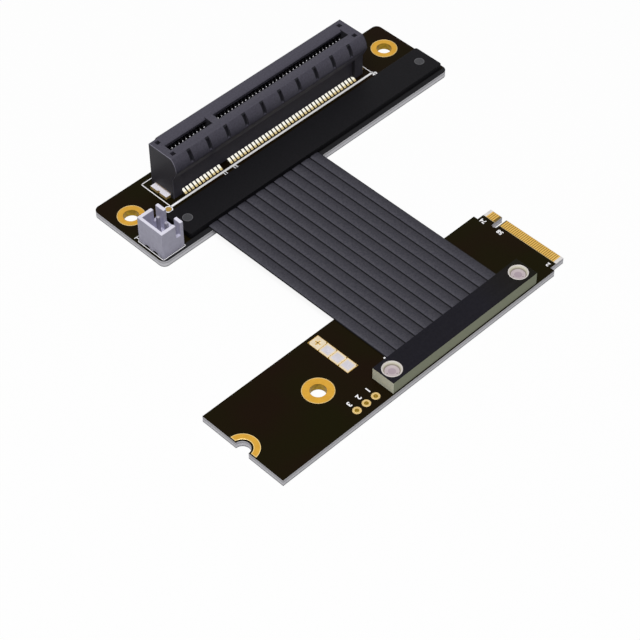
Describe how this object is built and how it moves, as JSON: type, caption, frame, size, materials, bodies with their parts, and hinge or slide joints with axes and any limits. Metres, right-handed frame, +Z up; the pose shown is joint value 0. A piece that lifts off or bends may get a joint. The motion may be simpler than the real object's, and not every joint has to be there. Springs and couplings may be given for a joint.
{
  "type": "shielded ribbon extension cable for an expansion card slot",
  "caption": "Short flat extension: a narrow plug board and a card slot board joined by parallel shielded strips, with a power header, a clamp bar and a cover plate.",
  "frame": {"origin": "centre of the two boards' common outline, on their undersides, which lie on the table", "axes": "+X along both boards towards the gold-fingered tip, +Y from the plug board to the slot board along the strips, +Z up"},
  "size_m": [0.106, 0.0792, 0.0128],
  "materials": {
    "solder_mask": "satin",
    "gold_plate": "polished",
    "clamp_laminate": "satin",
    "nylon": "satin",
    "slot_nylon": "satin",
    "header_nylon": "satin",
    "tinned": "satin",
    "cover_black": "matte",
    "copper_wire": "satin",
    "ribbon_jacket": "satin"
  },
  "bodies": {
    "root": {"m2_board": "solder_mask", "m2_fingers_top": "gold_plate", "m2_fingers_bottom": "gold_plate", "m2_hole_ring": "gold_plate", "m2_end_ring": "gold_plate", "m2_small_rings": "gold_plate", "m2_pad_strip": "tinned", "clamp_bar": "clamp_laminate", "clamp_rivets": "nylon", "solder_pads_m2": "gold_plate", "wire_ends_m2": "copper_wire", "ribbon_01": "ribbon_jacket", "ribbon_02": "ribbon_jacket", "ribbon_03": "ribbon_jacket", "ribbon_04": "ribbon_jacket", "ribbon_05": "ribbon_jacket", "ribbon_06": "ribbon_jacket", "ribbon_07": "ribbon_jacket", "ribbon_08": "ribbon_jacket", "ribbon_09": "ribbon_jacket", "ribbon_10": "ribbon_jacket", "ribbon_11": "ribbon_jacket", "ribbon_12": "ribbon_jacket", "slot_board": "solder_mask", "slot_board_rings": "gold_plate", "slot_housing": "slot_nylon", "slot_contacts_front": "tinned", "slot_contacts_back": "tinned", "slot_hold_downs": "tinned", "header_housing": "header_nylon", "header_pins": "tinned", "cover_plate": "cover_black", "cover_studs": "cover_black", "solder_pads_slot": "gold_plate", "wire_ends_slot": "copper_wire", "corner_pad": "gold_plate"}
  },
  "joints": []
}
